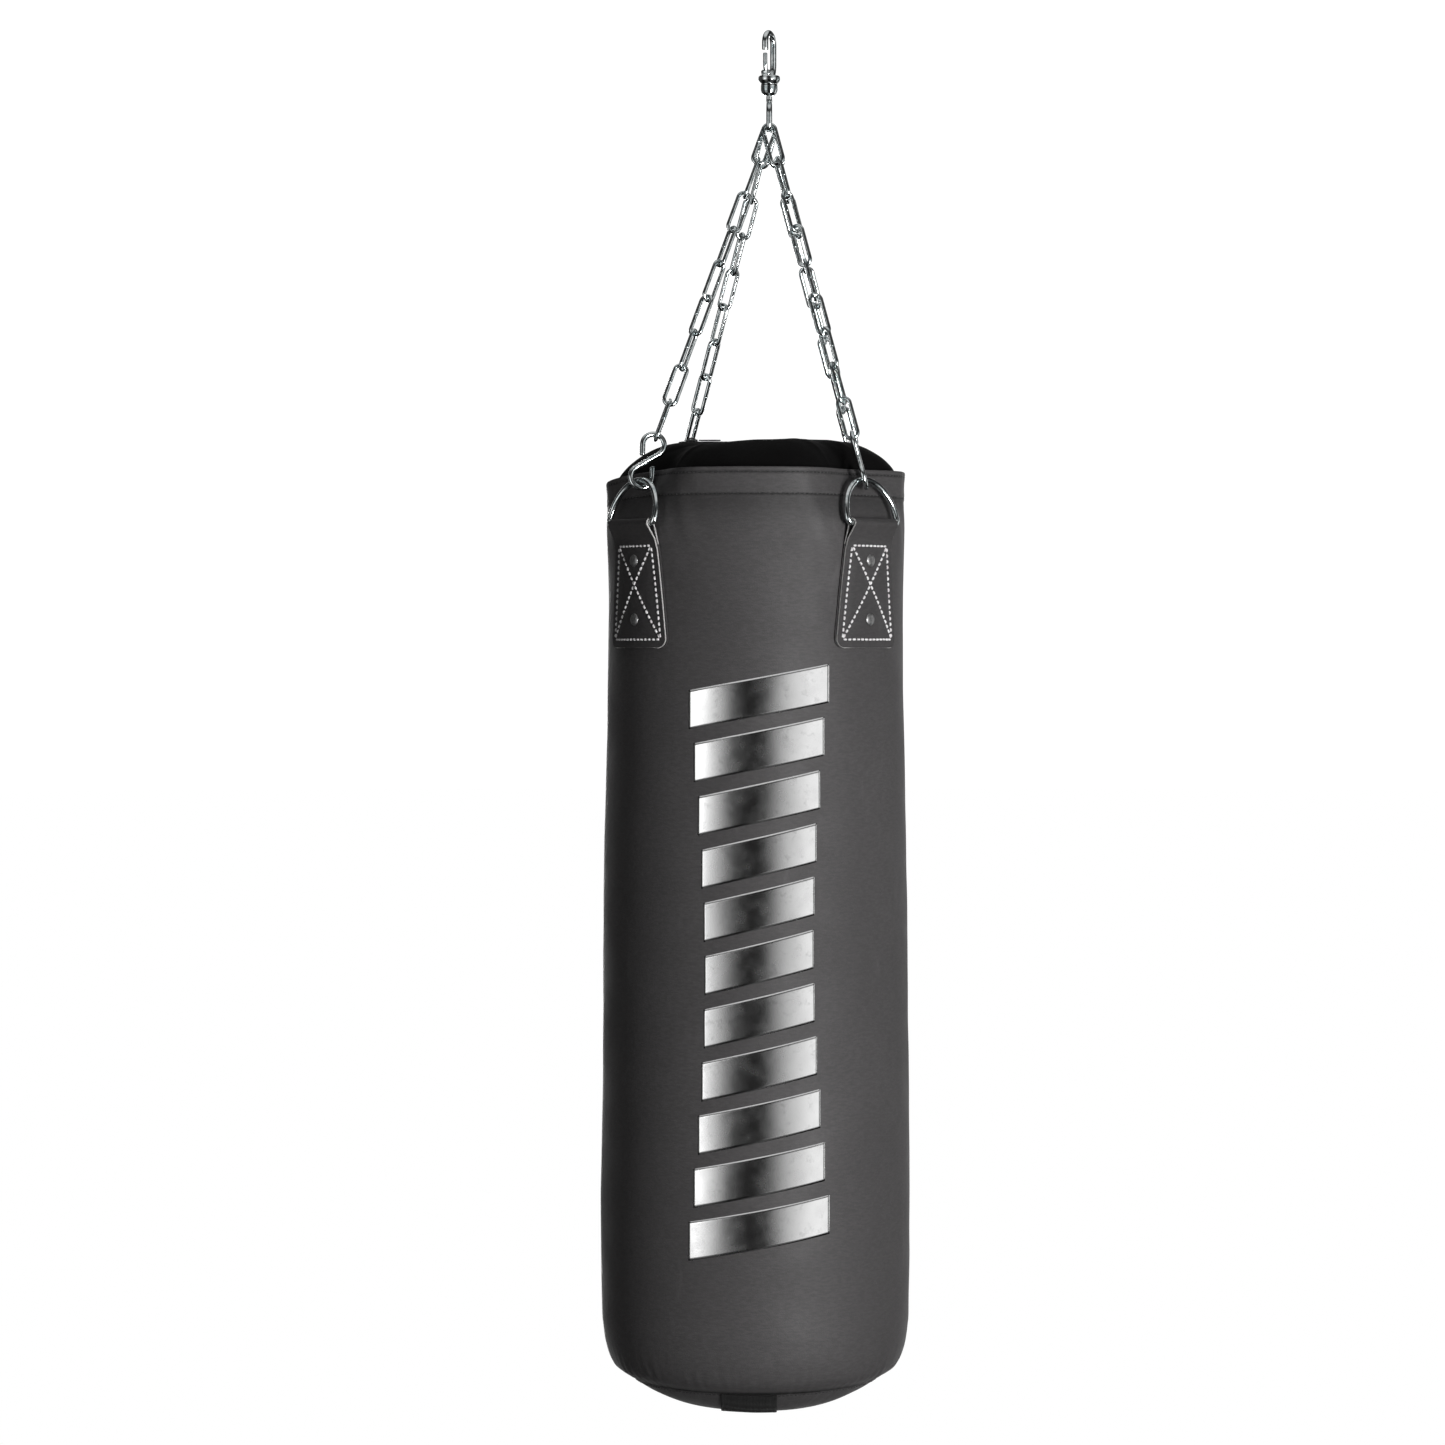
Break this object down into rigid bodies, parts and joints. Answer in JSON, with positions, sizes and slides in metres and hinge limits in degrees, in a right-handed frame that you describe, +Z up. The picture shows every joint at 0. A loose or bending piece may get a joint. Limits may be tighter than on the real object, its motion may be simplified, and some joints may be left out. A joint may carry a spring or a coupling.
{
  "type": "hanging heavy punching bag",
  "caption": "Tall cylindrical padded punching bag that hangs from a swivel snap hook by chains, S-hooks and D-rings on riveted straps.",
  "frame": {"origin": "the top of the snap hook's inside, where it bears on what holds it", "axes": "+Z up, the front of the bag faces -Y, +X is to the right of someone facing the front"},
  "size_m": [0.361, 0.361, 1.6093],
  "materials": {
    "plated_steel": "bright zinc plate, slightly worn",
    "black_leatherette": "matt, fine grain",
    "black_webbing": "woven",
    "textile_filling": "packed textile",
    "zip_tape": "woven tape",
    "zip_metal": "dull nickel"
  },
  "bodies": {
    "hook": {"hook_body": "plated_steel", "gate_pin": "plated_steel"},
    "gate": {"hook_gate": "plated_steel"},
    "swivel": {"swivel_eye": "plated_steel"},
    "bag": {"front_left_link_1": "plated_steel", "front_left_link_2": "plated_steel", "front_left_link_3": "plated_steel", "front_left_link_4": "plated_steel", "front_left_link_5": "plated_steel", "front_left_link_6": "plated_steel", "front_left_link_7": "plated_steel", "front_left_link_8": "plated_steel", "front_left_link_9": "plated_steel", "front_right_link_1": "plated_steel", "front_right_link_2": "plated_steel", "front_right_link_3": "plated_steel", "front_right_link_4": "plated_steel", "front_right_link_5": "plated_steel", "front_right_link_6": "plated_steel", "front_right_link_7": "plated_steel", "front_right_link_8": "plated_steel", "front_right_link_9": "plated_steel", "back_right_link_1": "plated_steel", "back_right_link_2": "plated_steel", "back_right_link_3": "plated_steel", "back_right_link_4": "plated_steel", "back_right_link_5": "plated_steel", "back_right_link_6": "plated_steel", "back_right_link_7": "plated_steel", "back_right_link_8": "plated_steel", "back_right_link_9": "plated_steel", "back_left_link_1": "plated_steel", "back_left_link_2": "plated_steel", "back_left_link_3": "plated_steel", "back_left_link_4": "plated_steel", "back_left_link_5": "plated_steel", "back_left_link_6": "plated_steel", "back_left_link_7": "plated_steel", "back_left_link_8": "plated_steel", "back_left_link_9": "plated_steel", "front_left_s_hook": "plated_steel", "front_right_s_hook": "plated_steel", "back_right_s_hook": "plated_steel", "back_left_s_hook": "plated_steel", "front_left_d_ring": "plated_steel", "front_right_d_ring": "plated_steel", "back_right_d_ring": "plated_steel", "back_left_d_ring": "plated_steel", "front_left_strap": "black_leatherette", "front_right_strap": "black_leatherette", "back_right_strap": "black_leatherette", "back_left_strap": "black_leatherette", "outer_cover": "black_leatherette", "top_lid": "black_leatherette", "bottom_panel": "black_leatherette", "bottom_strap": "black_webbing", "filling": "textile_filling", "zip_tape": "zip_tape"},
    "zip_slider": {"zip_slider": "zip_metal"},
    "zip_pull": {"zip_pull": "zip_metal"}
  },
  "joints": [
    {"name": "gate_open", "type": "hinge", "parent": "hook", "child": "gate", "pos_m": [-0.0036, -0.00847, -0.0425], "axis": [-0.9205, 0.3907, 0], "range_deg": [0, 25], "stiffness_Nm_per_rad": 0.05, "springref_deg": -20.05},
    {"name": "swivel_turn", "type": "hinge", "parent": "hook", "child": "swivel", "pos_m": [0, 0, -0.0568], "axis": [0, 0, 1], "continuous": true},
    {"name": "bag_swing", "type": "hinge", "parent": "swivel", "child": "bag", "pos_m": [0, 0, -0.1105], "axis": [0, 1, 0], "range_deg": [-30, 30]},
    {"name": "zip_slide", "type": "slide", "parent": "bag", "child": "zip_slider", "axis": [1, 0, 0], "range_m": [0, 0.12]},
    {"name": "zip_pull_flip", "type": "hinge", "parent": "zip_slider", "child": "zip_pull", "pos_m": [-0.0829, 0.025, -0.471], "axis": [0, -1, 0], "range_deg": [0, 85]}
  ]
}
